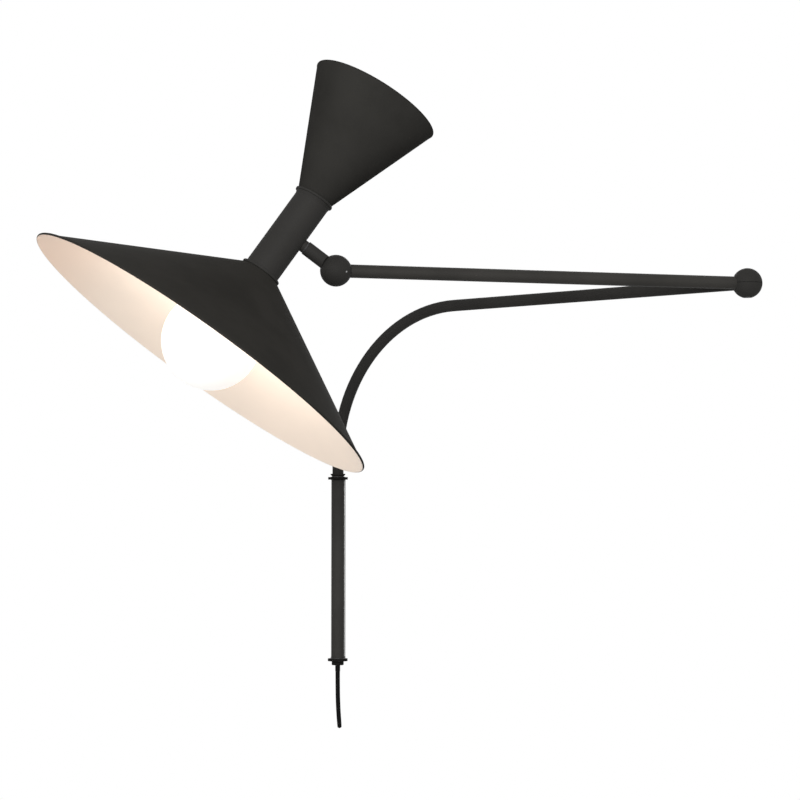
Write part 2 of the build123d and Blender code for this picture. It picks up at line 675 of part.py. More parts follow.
# The upper end of the body tube is cut to the small shade's lean
with BuildPart() as body_tube:
    with BuildSketch(Plane(origin=body_middle + head_down * BODY_BELOW, z_dir=head_up)):
        Circle(BODY_RADIUS)
        Circle(body_bore, mode=Mode.SUBTRACT)
    extrude(amount=BODY_BELOW + BODY_ABOVE + BODY_RADIUS)
    split(bisect_by=Plane(origin=body_end, z_dir=upper_up), keep=Keep.BOTTOM)
    with BuildSketch(Plane(origin=body_middle, z_dir=along_stem * -1)):
        Circle(bolt_hole)
    extrude(amount=BODY_RADIUS, mode=Mode.SUBTRACT)
finish(body_tube, "body_tube")


def shade_profile(plane, neck_radius, neck_height, rim_radius, rim_height, hem_radius, hole_radius):
    """Sheet of a cone with a flat flange at its neck and a rolled hem at its rim."""
    hem = Vector(rim_radius - hem_radius, rim_height - hem_radius)
    slope = atan2(hem.X - neck_radius, hem.Y - neck_height)
    half_sheet = Vector(cos(slope), -sin(slope)) * (SHEET / 2)
    edge_outside = hem + half_sheet
    edge_inside = hem - half_sheet
    spread = (edge_outside.X - neck_radius) / (edge_outside.Y - neck_height)
    flange_height = neck_height + SHEET
    flange_radius = edge_inside.X - (edge_inside.Y - flange_height) * spread
    with BuildSketch(plane) as profile:
        with BuildLine():
            Polyline(
                (hole_radius, neck_height),
                (neck_radius, neck_height),
                edge_outside,
                edge_inside,
                (flange_radius, flange_height),
                (hole_radius, flange_height),
                close=True,
            )
        make_face()
        with Locations(hem):
            Circle(hem_radius)
    return profile.sketch


def bulb_profile(plane, middle, radius, neck_radius, neck_height):
    """Glass of a round lamp, open at its neck."""
    inner_radius = radius - GLASS
    inner_neck = neck_radius - GLASS
    outer_start = -degrees(acos(neck_radius / radius))
    inner_start = -degrees(acos(inner_neck / inner_radius))
    with BuildSketch(plane) as profile:
        with BuildLine():
            outside = CenterArc((0, middle), radius, outer_start, 90 - outer_start)
            inside = CenterArc((0, middle), inner_radius, inner_start, 90 - inner_start)
            Line(outside @ 1, inside @ 1)
            Polyline(inside @ 0, (inner_neck, neck_height), (neck_radius, neck_height), outside @ 0)
        make_face()
    return profile.sketch


def cap_profile(plane, start, radius, length):
    """Screw cap of a lamp with its contact at the start."""
    with BuildSketch(plane) as profile:
        with BuildLine():
            Polyline(
                (0, start),
                (CAP_CONTACT_RADIUS, start),
                (CAP_CONTACT_RADIUS, start + CAP_CONTACT_HEIGHT),
                (radius, start + CAP_CONTACT_HEIGHT + CAP_SHOULDER),
                (radius, start + length),
                (0, start + length),
                close=True,
            )
        make_face()
    return profile.sketch


# Below the body tube: ring, shade, lampholder and globe, with heights counted downwards
shade_top = BODY_BELOW + SHADE_RING_HEIGHT
skirt_top = shade_top + SHEET + FIT
skirt_bottom = skirt_top + HOLDER_SKIRT_HEIGHT
holder_floor = skirt_top + HOLDER_FLOOR
cap_start = holder_floor + FIT
cap_end = cap_start + CAP_LENGTH

with BuildPart() as shade_ring:
    with BuildSketch(head_down_plane):
        ring_middle = (HOLDER_BASE_RADIUS + FIT + SHADE_RING_RADIUS) / 2
        with Locations((ring_middle, BODY_BELOW + SHADE_RING_HEIGHT / 2)):
            Rectangle(SHADE_RING_RADIUS - HOLDER_BASE_RADIUS - FIT, SHADE_RING_HEIGHT)
    revolve(axis=head_axis)
    fillet(shade_ring.edges().filter_by(GeomType.CIRCLE).group_by(SortBy.RADIUS)[-1], SHADE_RING_EDGE)
finish(shade_ring, "shade_ring")


with BuildPart() as shade:
    revolve(
        shade_profile(
            head_down_plane,
            SHADE_NECK_RADIUS,
            shade_top,
            SHADE_RADIUS,
            SHADE_DROP,
            SHADE_HEM_RADIUS,
            HOLDER_BASE_RADIUS + FIT,
        ),
        axis=head_axis,
    )
finish(shade, "shade")


with BuildPart() as lampholder:
    with BuildSketch(head_down_plane):
        with BuildLine():
            Polyline(
                (0, shade_top - HOLDER_BASE_HEIGHT),
                (HOLDER_BASE_RADIUS, shade_top - HOLDER_BASE_HEIGHT),
                (HOLDER_BASE_RADIUS, skirt_top),
                (SHADE_NECK_RADIUS - SHEET, skirt_top),
                (HOLDER_SKIRT_RADIUS, skirt_top + HOLDER_SHOULDER),
                (HOLDER_SKIRT_RADIUS, skirt_bottom),
                (CAP_RADIUS + CLEAR, skirt_bottom),
                (CAP_RADIUS + CLEAR, holder_floor),
                (0, holder_floor),
                close=True,
            )
        make_face()
    revolve(axis=head_axis)
finish(lampholder, "lampholder")


with BuildPart() as globe_cap:
    revolve(cap_profile(head_down_plane, cap_start, CAP_RADIUS, CAP_LENGTH), axis=head_axis)
finish(globe_cap, "globe_cap")


with BuildPart() as globe_glass:
    revolve(
        bulb_profile(head_down_plane, GLOBE_DROP, GLOBE_RADIUS, GLOBE_NECK_RADIUS, cap_end), axis=head_axis
    )
finish(globe_glass, "globe_glass")


# Above the body tube: beaded ring, small shade, lampholder with its nut, and the upper lamp
upper_shade_bottom = BODY_ABOVE + UPPER_RING_HEIGHT
upper_holder_top = UPPER_HOLDER_BASE + UPPER_HOLDER_LENGTH
upper_floor = UPPER_HOLDER_BASE + UPPER_HOLDER_FLOOR
upper_cap_start = upper_floor + FIT
upper_cap_end = upper_cap_start + UPPER_CAP_LENGTH
upper_bulb_middle = upper_cap_end + sqrt(UPPER_BULB_RADIUS ** 2 - UPPER_BULB_NECK_RADIUS ** 2) + CLEAR
upper_hole = UPPER_HOLDER_RADIUS + FIT

with BuildPart() as upper_ring:
    with BuildSketch(upper_plane):
        with BuildLine():
            Polyline(
                (upper_hole, BODY_ABOVE),
                (BODY_RADIUS, BODY_ABOVE),
                (BODY_RADIUS + UPPER_RING_FLARE, upper_shade_bottom - UPPER_BEAD_HEIGHT),
                (UPPER_BEAD_RADIUS, upper_shade_bottom - UPPER_BEAD_HEIGHT),
                (UPPER_BEAD_RADIUS, upper_shade_bottom),
                (upper_hole, upper_shade_bottom),
                close=True,
            )
        make_face()
    revolve(axis=upper_axis)
    fillet(upper_ring.edges().filter_by(GeomType.CIRCLE).group_by(SortBy.RADIUS)[-1], UPPER_BEAD_EDGE)
finish(upper_ring, "upper_ring")


with BuildPart() as upper_shade:
    revolve(
        shade_profile(
            upper_plane,
            UPPER_SHADE_NECK_RADIUS,
            upper_shade_bottom,
            UPPER_SHADE_RADIUS,
            UPPER_SHADE_RISE,
            UPPER_SHADE_HEM_RADIUS,
            upper_hole,
        ),
        axis=upper_axis,
    )
finish(upper_shade, "upper_shade")


with BuildPart() as upper_lampholder:
    with BuildSketch(Plane(origin=upper_middle + upper_up * UPPER_HOLDER_BASE, z_dir=upper_up)):
        Circle(UPPER_HOLDER_RADIUS)
    extrude(amount=UPPER_HOLDER_LENGTH)
    with BuildSketch(Plane(origin=upper_middle + upper_up * upper_floor, z_dir=upper_up)):
        Circle(UPPER_CAP_RADIUS + CLEAR)
    extrude(amount=UPPER_HOLDER_LENGTH, mode=Mode.SUBTRACT)
finish(upper_lampholder, "upper_lampholder")


holder_nut_seat = upper_shade_bottom + SHEET + FIT
with BuildPart() as upper_holder_nut:
    with BuildSketch(Plane(origin=upper_middle + upper_up * holder_nut_seat, z_dir=upper_up)):
        Circle(UPPER_NUT_RADIUS)
        Circle(upper_hole, mode=Mode.SUBTRACT)
    extrude(amount=UPPER_NUT_HEIGHT)
finish(upper_holder_nut, "upper_holder_nut")


with BuildPart() as upper_bulb_cap:
    revolve(cap_profile(upper_plane, upper_cap_start, UPPER_CAP_RADIUS, UPPER_CAP_LENGTH), axis=upper_axis)
finish(upper_bulb_cap, "upper_bulb_cap")


with BuildPart() as upper_bulb_glass:
    revolve(
        bulb_profile(
            upper_plane, upper_bulb_middle, UPPER_BULB_RADIUS, UPPER_BULB_NECK_RADIUS, upper_cap_end
        ),
        axis=upper_axis,
    )
finish(upper_bulb_glass, "upper_bulb_glass")


# Two leads run from the swivel bolt to the holders, inside the body tube
lead_start = STEM_REACH - bolt_end - CLEAR
lead_plane = turned(body_middle, head_up, along_stem * -1)
upper_base = BODY_ABOVE - (BODY_ABOVE - UPPER_HOLDER_BASE) / cos(radians(UPPER_LEAN))
upper_lead_end = upper_base - LEAD_RADIUS * tan(radians(UPPER_LEAN)) - FIT
lead_ends = (upper_lead_end, HOLDER_BASE_HEIGHT - shade_top + FIT)
with BuildPart() as head_leads:
    for end in lead_ends:
        step = SWIVEL_BOLT_BORE if end > 0 else -SWIVEL_BOLT_BORE
        with BuildLine(lead_plane) as lead_route:
            FilletPolyline((lead_start, step), (0, step), (0, end), radius=LEAD_BEND)
        lead_wire = lead_route.wires()[0]
        with BuildSketch(Plane(origin=lead_wire @ 0, z_dir=lead_wire % 0)):
            Circle(LEAD_RADIUS)
        sweep(path=lead_wire)
finish(head_leads, "head_leads")

print("elbow", elbow)
print("head ball", head_ball)
print("body middle", body_middle)
print("upper arm way", along_upper, "tilt axis", front)
print("stem way", along_stem, "head up", head_up, "upper up", upper_up, "upper middle", upper_middle)
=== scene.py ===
"""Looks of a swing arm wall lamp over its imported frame, in metres.

Run as a script, it models the pieces that need more than the frame gives, paints every piece and sets
the stage.
"""

import json
import math

import bpy
from mathutils import Matrix, Vector


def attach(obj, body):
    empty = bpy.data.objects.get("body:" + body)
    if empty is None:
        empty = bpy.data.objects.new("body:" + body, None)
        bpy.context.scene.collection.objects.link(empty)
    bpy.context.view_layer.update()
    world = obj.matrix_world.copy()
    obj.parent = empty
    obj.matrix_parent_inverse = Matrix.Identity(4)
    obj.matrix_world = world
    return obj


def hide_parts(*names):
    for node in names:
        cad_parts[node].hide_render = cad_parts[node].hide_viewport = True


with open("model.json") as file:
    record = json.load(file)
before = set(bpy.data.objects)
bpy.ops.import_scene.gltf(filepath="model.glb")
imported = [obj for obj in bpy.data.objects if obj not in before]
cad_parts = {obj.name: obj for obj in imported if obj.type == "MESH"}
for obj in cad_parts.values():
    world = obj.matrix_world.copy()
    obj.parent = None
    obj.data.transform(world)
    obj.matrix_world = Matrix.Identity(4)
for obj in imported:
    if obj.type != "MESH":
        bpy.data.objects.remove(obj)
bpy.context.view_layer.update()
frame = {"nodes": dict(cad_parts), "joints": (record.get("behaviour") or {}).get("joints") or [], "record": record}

bl_info = {
    "name": "Swing Arm Wall Lamp",
    "version": (1, 0, 0),
    "blender": (4, 5, 0),
    "location": "3D View > Sidebar > Wall Lamp",
    "description": "Models, paints and lights a swing arm wall lamp on its packed frame",
    "category": "Add Mesh",
}

# The frame's own lines
RECORD = frame["record"]
JOINTS = {joint["name"]: joint for joint in frame["joints"]}
BODY_MIDDLE = Vector(JOINTS["head_turn"]["pos_m"])
STEM_WAY = Vector(JOINTS["head_turn"]["axis"]).normalized()
TILT_AXIS = Vector(JOINTS["head_tilt"]["axis"]).normalized()
STEM_UP = STEM_WAY.cross(TILT_AXIS).normalized()

# Turn of the head on its stem, lean of the small shade, and the end of the body tube where it leans
HEAD_TURN = math.radians(1.17)
SMALL_SHADE_LEAN = math.radians(3.95)
BODY_END_RISE = 0.033
HEAD_UP = STEM_UP * math.cos(HEAD_TURN) + TILT_AXIS * math.sin(HEAD_TURN)
SMALL_UP = HEAD_UP * math.cos(SMALL_SHADE_LEAN) + STEM_WAY * math.sin(SMALL_SHADE_LEAN)
SMALL_MIDDLE = BODY_MIDDLE + (HEAD_UP - SMALL_UP) * BODY_END_RISE

# Fineness of turned pieces, the plane that each one starts from, and the gap at which points merge
WIDE_STEPS = 192
NARROW_STEPS = 96
HEM_STEPS = 20
ROUND_STEPS = 40
SMOOTH_ANGLE = math.radians(40)
SEED_WIDTH = 0.01
MERGE_GAP = 0.000008

# Rounded corner at a shade's neck, out and along in sheet thicknesses
NECK_CORNER = ((-0.5, 0.0), (-0.12, 0.1), (0.25, 0.4))

# Share of each shade's hem that the enamel wraps, and the facing below which a face is inside
SHADE_LIP = 0.3
SMALL_SHADE_LIP = 0.02
INSIDE_FACING = -0.04

# Places of the lamp's pieces along the head's axis, counted from the stem
SHADE_NECK_DROP = 0.0396
HOLDER_TOP_DROP = 0.0226
HOLDER_SKIRT_DROP = 0.04063
HOLDER_FLOOR_DROP = 0.04313
HOLDER_END_DROP = 0.06463
GLOBE_NECK_DROP = 0.06816
SMALL_SHADE_NECK_RISE = 0.038
SMALL_HOLDER_RISE = 0.020
SMALL_HOLDER_FLOOR_RISE = 0.046
SMALL_HOLDER_END_RISE = 0.062
SMALL_LAMP_NECK_RISE = 0.06603

# Edges, shoulder and grooves of the lampholders, with a groove's land and floor as shares of its pitch
HOLDER_EDGE = 0.0006
SHOULDER_WIDTH = 0.0022
SHOULDER_DEPTH = 0.002
GROOVE_COUNT = 4
GROOVE_DEPTH = 0.0007
GROOVES_FROM_SKIRT = 0.004
GROOVES_FROM_END = 0.005
SMALL_GROOVE_COUNT = 7
SMALL_GROOVE_DEPTH = 0.0006
SMALL_GROOVES_FROM_NECK = 0.005
SMALL_GROOVES_FROM_END = 0.003
LAND_START = 0.12
LAND_END = 0.52
FLOOR_START = 0.62
FLOOR_END = 0.9

# Painted shade on the enamel far out from the head ball, darker and warmer where the bulb's light falls off, and
# where it starts and is full
PAINTED_SHADE_TINT = (1.01, 0.9, 0.84)
PAINTED_SHADE_START = 0.07
PAINTED_SHADE_END = 0.16

# Thread of the lamps' caps, the two tones of the globe's frost, and the warmer glow near its neck
THREAD_PITCH = 0.0036
FROST_DARK = (0.9, 0.89, 0.87, 1.0)
FROST_LIGHT = (0.94, 0.93, 0.91, 1.0)
NECK_GLOW = (1.0, 0.82, 0.62, 1.0)
NECK_GLOW_REACH = 0.018

# Radius of the light within the globe, as a share of the globe's own
BULB_SHARE = 0.8

# Route of the cord, from the strain relief down
CORD_ROUTE = (
    (0.0, -0.036, -0.1007),
    (0.0, -0.036, -0.1182),
    (0.00055, -0.036, -0.1372),
    (0.00184, -0.036, -0.1545),
    (0.00196, -0.036, -0.1562),
    (0.002, -0.036, -0.1567),
)
CORD_THICKNESS = (1.0, 1.0, 1.0, 1.0, 0.85, 0.0)

# Camera and backdrop
SENSOR = 36.0
CLIP_END = 50.0
WHITE = (1.0, 1.0, 1.0, 1.0)

# Floor, with its edge and the start of its fade as shares of the distance at which it has faded
FLOOR_CORNERS = 96
FLOOR_EDGE = 2.0
FADE_START = 0.45

# What the lamps aim at, and each lamp's name, place, width and the setting that holds its power
STAGE_MIDDLE = Vector((0.05, -0.28, 0.15))
STAGE_LAMPS = (
    ("key_lamp", (-0.1, -2.9, 0.65), 1.3, "key"),
    ("fill_lamp", (-2.1, -1.9, 0.5), 1.8, "fill"),
    ("side_lamp", (2.5, -0.7, 0.7), 1.6, "side"),
    ("back_lamp", (0.3, 2.5, 1.1), 1.8, "back"),
)


def length(name, description, default):
    """Size that a user would change."""
    return bpy.props.FloatProperty(
        name=name, description=description, default=default, min=0.0, precision=5, subtype="DISTANCE",
        unit="LENGTH",
    )


def colour(name, description, default):
    """Colour that a user would change."""
    return bpy.props.FloatVectorProperty(
        name=name, description=description, default=default, size=3, min=0.0, max=1.0, subtype="COLOR"
    )


def factor(name, description, default, highest=1.0):
    """Plain number that a user would change."""
    return bpy.props.FloatProperty(
        name=name, description=description, default=default, min=0.0, max=highest
    )


class LampSizes(bpy.types.PropertyGroup):
    """Sizes of the modelled pieces"""

    shade_radius: length("Shade radius", "Rim of the large shade", 0.1599)
    shade_neck: length("Shade neck", "Radius of the large shade at its ring", 0.0168)
    shade_drop: length("Shade drop", "Large rim below the stem", 0.1239)
    shade_hole: length("Shade hole", "Hole in the large shade for the lampholder", 0.01283)
    small_shade_radius: length("Small shade radius", "Rim of the small shade", 0.0558)
    small_shade_neck: length("Small shade neck", "Radius of the small shade at its ring", 0.0153)
    small_shade_rise: length("Small shade rise", "Small rim above the stem", 0.1349)
    small_shade_hole: length("Small shade hole", "Hole in the small shade for its lampholder", 0.01233)
    sheet: length("Sheet", "Thickness of both shades", 0.001)
    shade_hem: length("Shade hem", "Radius of the large shade's rolled edge", 0.001)
    small_shade_hem: length("Small shade hem", "Radius of the small shade's rounded edge", 0.0006)
    globe_radius: length("Globe radius", "Lamp in the large shade", 0.040)
    globe_drop: length("Globe drop", "Middle of the globe below the stem", 0.108)
    globe_neck: length("Globe neck", "Radius of the globe at its cap", 0.014)
    small_lamp_radius: length("Small lamp radius", "Lamp in the small shade", 0.0225)
    small_lamp_rise: length("Small lamp rise", "Middle of the small lamp above the stem", 0.08761)
    small_lamp_neck: length("Small lamp neck", "Radius of the small lamp at its cap", 0.0076)
    glass: length("Glass", "Thickness of both lamps' glass", 0.0012)
    holder_radius: length("Holder radius", "Lampholder's base in the body tube", 0.0128)
    holder_skirt: length("Holder skirt", "Lampholder's skirt round the globe's cap", 0.018)
    holder_bore: length("Holder bore", "Inside of the lampholder's skirt", 0.0136)
    small_holder_radius: length("Small holder radius", "Outside of the small lampholder", 0.0123)
    small_holder_bore: length("Small holder bore", "Inside of the small lampholder", 0.0073)
    cord_diameter: length("Cord diameter", "Outside of the sheath", 0.0044)
    cord_length: length("Cord length", "Free length below the strain relief", 0.05606)


class LampColours(bpy.types.PropertyGroup):
    """Colours of the finishes"""

    paint: colour("Paint", "Matt warm black", (0.026, 0.025, 0.0235))
    # Painted highlight: a paler copy of the black paint on the upper arm, where more light falls
    tube_paint: colour("Tube paint", "Paler warm black on the upper arm", (0.0295, 0.028, 0.0255))
    # Painted highlight: a paler copy of the black paint on the pivot tube
    bar_paint: colour("Bar paint", "Paler black on the pivot tube", (0.036, 0.0348, 0.0325))
    # Painted shade: a darker copy of the black paint on the lugs and the end nut
    fitting_paint: colour(
        "Fitting paint", "Deep black on the lugs and the end nut", (0.009, 0.0085, 0.008)
    )
    shade_paint: colour("Shade paint", "Dull black outside the large shade", (0.0265, 0.025, 0.0225))
    # Painted highlight: a slightly paler copy of the large shade's paint on the small shade
    small_shade_paint: colour(
        "Small shade paint", "Dull black outside the small shade", (0.027, 0.026, 0.0238)
    )
    inside: colour("Shade inside", "Cream enamel", (0.88, 0.755, 0.645))
    steel: colour("Satin steel", "Wall rail", (0.28, 0.28, 0.275))
    zinc: colour("Zinc", "Plated screws and washers", (0.5, 0.5, 0.51))
    dull_zinc: colour("Dull zinc", "Stop screw in the front dome", (0.2, 0.2, 0.2))
    fibre: colour("Fibre", "Friction washers", (0.03, 0.03, 0.03))
    sheath: colour("Sheath", "Cord and inner leads", (0.003, 0.003, 0.003))
    moulding: colour("Moulding", "Lampholders", (0.018, 0.018, 0.018))
    cap: colour("Lamp cap", "Screw caps of the lamps", (0.72, 0.72, 0.7))
    glow: colour("Glow", "Lit glass of the globe", (1.0, 0.97, 0.93))
    opal: colour("Opal", "Glass of the small lamp, which is off", (0.86, 0.85, 0.82))
    floor: colour("Floor", "Floor under the lamp", (0.9, 0.9, 0.9))


class StageSettings(bpy.types.PropertyGroup):
    """Camera, light and floor"""

    camera_place: bpy.props.FloatVectorProperty(
        name="Camera", description="Place of the camera", default=(0.0338, -2.1848, 0.054), subtype="XYZ",
        unit="LENGTH",
    )
    camera_yaw: bpy.props.FloatProperty(
        name="Yaw", description="Camera's turn to the right", default=0.0129, subtype="ANGLE"
    )
    camera_pitch: bpy.props.FloatProperty(
        name="Pitch", description="Camera's tilt above the level", default=0.0527, subtype="ANGLE"
    )
    lens: bpy.props.FloatProperty(
        name="Lens", description="Focal length on a 36 mm sensor", default=97.41,
        subtype="DISTANCE_CAMERA",
    )
    floor_drop: length("Floor drop", "Floor below the middle of the wall rail", 1.6)
    floor_clear: length("Floor fade", "Distance at which the floor has faded into the backdrop", 1.6)
    ambient: factor("Ambient", "Level of the light from all round", 0.3)
    key: factor("Key", "Power of the main lamp, in watts", 60.0, 1000.0)
    fill: factor("Fill", "Power of the lamp on the left, in watts", 13.0, 1000.0)
    side: factor("Side", "Power of the lamp on the right, in watts", 8.0, 1000.0)
    back: factor("Back", "Power of the lamp behind, in watts", 32.0, 1000.0)
    glow: factor("Glow", "Strength of the lit glass", 0.4, 50.0)
    bulb: factor("Bulb", "Power of the light within the globe, in watts", 0.66, 50.0)


class Wire:
    """A shader socket that works in Python sums."""

    def __init__(self, finish, socket):
        self.finish = finish
        self.socket = socket

    def also(self, output):
        """Another output of the same node."""
        return Wire(self.finish, self.socket.node.outputs[output])

    def _sum(self, operation, first, second):
        return self.finish.node("ShaderNodeMath", {"operation": operation}, {0: first, 1: second})

    def __add__(self, other):
        return self._sum("ADD", self, other)

    def __radd__(self, other):
        return self._sum("ADD", other, self)

    def __sub__(self, other):
        return self._sum("SUBTRACT", self, other)

    def __rsub__(self, other):
        return self._sum("SUBTRACT", other, self)

    def __mul__(self, other):
        return self._sum("MULTIPLY", self, other)

    def __rmul__(self, other):
        return self._sum("MULTIPLY", other, self)

    def highest(self, other):
        """The greater of the two."""
        return self._sum("MAXIMUM", self, other)

    def sine(self):
        """Sine of this."""
        return self._sum("SINE", self, 0.0)

    def within(self, low, high):
        """0 at low and 1 at high, easing between them."""
        return self.finish.node(
            "ShaderNodeMapRange",
            {"interpolation_type": "SMOOTHSTEP"},
            {"Value": self, "From Min": low, "From Max": high, "To Min": 0.0, "To Max": 1.0},
        )


class Finish:
    """Node tree of one finish while it is put together."""

    def __init__(self, tree):
        self.tree = tree
        tree.nodes.clear()

    def node(self, kind, settings, sockets, output=0):
        """Add a node with its settings, fill its sockets and give one of its outputs."""
        made = self.tree.nodes.new(kind)
        for setting, value in settings.items():
            setattr(made, setting, value)
        for socket, value in sockets.items():
            if isinstance(value, Wire):
                self.tree.links.new(value.socket, made.inputs[socket])
            else:
                made.inputs[socket].default_value = value
        return Wire(self, made.outputs[output]) if len(made.outputs) else None

    def place(self):
        """Point of the surface in the frame, in metres."""
        return self.node("ShaderNodeTexCoord", {}, {}, "Object")

    def turned_place(self, origin, axes):
        """Point of the surface from an origin, along three turned axes."""
        away = self.node("ShaderNodeVectorMath", {"operation": "SUBTRACT"}, {0: self.place(), 1: origin})
        dot = {"operation": "DOT_PRODUCT"}
        along = [self.node("ShaderNodeVectorMath", dot, {0: away, 1: axis}, "Value") for axis in axes]
        return self.node("ShaderNodeCombineXYZ", {}, {"X": along[0], "Y": along[1], "Z": along[2]})

    def noise(self, place, scale, detail=2.0, roughness=0.5):
        """Cloudy pattern from 0 to 1, with its scale per metre."""
        sockets = {"Vector": place, "Scale": scale, "Detail": detail, "Roughness": roughness}
        return self.node("ShaderNodeTexNoise", {"noise_dimensions": "3D"}, sockets)

    def stretched(self, place, scale):
        """A place scaled along each axis, for streaks."""
        return self.node("ShaderNodeMapping", {"vector_type": "POINT"}, {"Vector": place, "Scale": scale})

    def parts(self, place):
        """The three numbers of a place."""
        across = self.node("ShaderNodeSeparateXYZ", {}, {"Vector": place}, "X")
        return across, across.also("Y"), across.also("Z")

    def blend(self, share, first, second):
        """Mix of two colours."""
        settings = {"data_type": "RGBA", "clamp_factor": True}
        return self.node("ShaderNodeMix", settings, {0: share, 6: first, 7: second}, 2)

    def bump(self, height, depth, strength=1.0):
        """Normal of a surface with that height, whose full depth is in metres."""
        sockets = {"Height": height, "Distance": depth, "Strength": strength}
        return self.node("ShaderNodeBump", {}, sockets)

    def paint(self, sockets):
        """End the tree in one plain surface shader."""
        surface = self.node("ShaderNodeBsdfPrincipled", {}, sockets, "BSDF")
        self.node("ShaderNodeOutputMaterial", {}, {"Surface": surface})


def new_finish(slot):
    """An empty finish for a slot, and its material."""
    material = bpy.data.materials.new(f"{slot}_finish")
    material.use_nodes = True
    return Finish(material.node_tree), material


def rgba(values, level=1.0):
    """Colour with full alpha, at a level of its brightness."""
    return (values[0] * level, values[1] * level, values[2] * level, 1.0)


def powder_coat(name, paint, dullness, gloss):
    """Matt powder coat: fine grain, soft waves and faint handling marks."""
    finish, material = new_finish(name)
    place = finish.place()
    grain = finish.noise(place, scale=1900.0, detail=2.0)
    waves = finish.noise(place, scale=330.0, detail=1.0)
    patches = finish.noise(place, scale=14.0, detail=4.0, roughness=0.6)
    tone = finish.blend(patches.within(0.3, 0.7), rgba(paint, level=0.86), rgba(paint, level=1.14))
    speckle = finish.blend(grain.within(0.6, 0.8) * 0.35, tone, rgba(paint, level=1.7))
    height = grain * 0.6 + waves * 0.4
    finish.paint({
        "Base Color": speckle,
        "Roughness": dullness + 0.12 * patches + 0.06 * grain,
        "Specular IOR Level": gloss,
        "Normal": finish.bump(height, depth=0.00006, strength=0.5),
    })
    return material


def shade_enamel(name, inside):
    """Cream enamel inside the shades, with the faint rings of a spun sheet and painted shade towards the far rim.
    """
    finish, material = new_finish(name)
    place = finish.turned_place(BODY_MIDDLE, (STEM_WAY, TILT_AXIS, HEAD_UP))
    outward, _, rise = finish.parts(place)
    rings = finish.noise(finish.node("ShaderNodeCombineXYZ", {}, {"Z": rise}), scale=700.0, detail=3.0)
    cloud = finish.noise(place, scale=22.0, detail=3.0)
    grain = finish.noise(place, scale=1700.0, detail=2.0)
    tone = finish.blend(cloud.within(0.25, 0.75), rgba(inside, level=0.965), rgba(inside, level=1.0))
    # Painted shade: the enamel turns darker and warmer towards the far rim, standing in for the bulb's light
    # falling off
    painted_shade = (*(level * tint for level, tint in zip(inside, PAINTED_SHADE_TINT)), 1.0)
    finish.paint({
        "Base Color": finish.blend(outward.within(PAINTED_SHADE_START, PAINTED_SHADE_END), tone, painted_shade),
        "Roughness": 0.5 + 0.1 * cloud,
        "Specular IOR Level": 0.4,
        "Normal": finish.bump(rings * 0.5 + grain * 0.5, depth=0.00004, strength=0.5),
    })
    return material


def satin_steel(name, steel):
    """Steel with fine brush lines along the rail."""
    finish, material = new_finish(name)
    place = finish.place()
    lines = finish.noise(finish.stretched(place, scale=(2600.0, 2600.0, 30.0)), scale=1.0, detail=3.0)
    cloud = finish.noise(place, scale=30.0, detail=3.0)
    tone = finish.blend(lines, rgba(steel, level=0.82), rgba(steel, level=1.08))
    finish.paint({
        "Base Color": tone,
        "Metallic": 1.0,
        "Roughness": 0.3 + 0.12 * cloud + 0.08 * lines,
        "Normal": finish.bump(lines, depth=0.00002, strength=0.4),
    })
    return material


def zinc_plate(name, zinc):
    """Zinc plate with faint spangle."""
    finish, material = new_finish(name)
    place = finish.place()
    crystals = {"Vector": place, "Scale": 1400.0}
    spangle = finish.parts(finish.node("ShaderNodeTexVoronoi", {"feature": "F1"}, crystals, "Color"))[0]
    cloud = finish.noise(place, scale=500.0, detail=2.0)
    finish.paint({
        "Base Color": finish.blend(spangle, rgba(zinc, level=0.85), rgba(zinc, level=1.1)),
        "Metallic": 1.0,
        "Roughness": 0.26 + 0.14 * cloud,
        "Normal": finish.bump(cloud, depth=0.00002, strength=0.4),
    })
    return material


def pressed_fibre(name, fibre):
    """Pressed fibre with short light flecks."""
    finish, material = new_finish(name)
    place = finish.place()
    flecks = finish.noise(place, scale=2400.0, detail=3.0, roughness=0.7)
    tone = finish.blend(flecks.within(0.4, 0.7), rgba(fibre, level=0.8), rgba(fibre, level=1.5))
    finish.paint({
        "Base Color": tone,
        "Roughness": 0.75 + 0.15 * flecks,
        "Normal": finish.bump(flecks, depth=0.00006, strength=0.6),
    })
    return material


def smooth_sheath(name, sheath):
    """Extruded sheath, nearly smooth, with faint draw lines and dulled patches."""
    finish, material = new_finish(name)
    place = finish.place()
    lines = finish.noise(finish.stretched(place, scale=(2500.0, 2500.0, 60.0)), scale=1.0, detail=2.0)
    dull = finish.noise(place, scale=120.0, detail=3.0)
    finish.paint({
        "Base Color": finish.blend(dull, rgba(sheath, level=0.8), rgba(sheath, level=1.3)),
        "Roughness": 0.4 + 0.15 * dull,
        "Specular IOR Level": 0.04,
        "Normal": finish.bump(lines, depth=0.00003, strength=0.4),
    })
    return material


def black_moulding(name, moulding):
    """Moulded lampholder plastic with a fine spark texture."""
    finish, material = new_finish(name)
    place = finish.place()
    spark = finish.noise(place, scale=2200.0, detail=2.0, roughness=0.6)
    flow = finish.noise(place, scale=60.0, detail=2.0)
    finish.paint({
        "Base Color": finish.blend(flow, rgba(moulding, level=0.85), rgba(moulding, level=1.2)),
        "Roughness": 0.42 + 0.14 * spark,
        "Specular IOR Level": 0.45,
        "Normal": finish.bump(spark, depth=0.00005, strength=0.5),
    })
    return material


def threaded_cap(name, cap):
    """Bright cap with the rolled thread of a lamp."""
    finish, material = new_finish(name)
    place = finish.turned_place(BODY_MIDDLE, (STEM_WAY, TILT_AXIS, HEAD_UP))
    rise = finish.parts(place)[2]
    thread = (rise * (2.0 * math.pi / THREAD_PITCH)).sine()
    scuff = finish.noise(place, scale=420.0, detail=3.0)
    finish.paint({
        "Base Color": finish.blend(scuff, rgba(cap, level=0.85), rgba(cap, level=1.05)),
        "Metallic": 1.0,
        "Roughness": 0.22 + 0.2 * scuff,
        "Normal": finish.bump(thread, depth=0.0006, strength=1.0),
    })
    return material


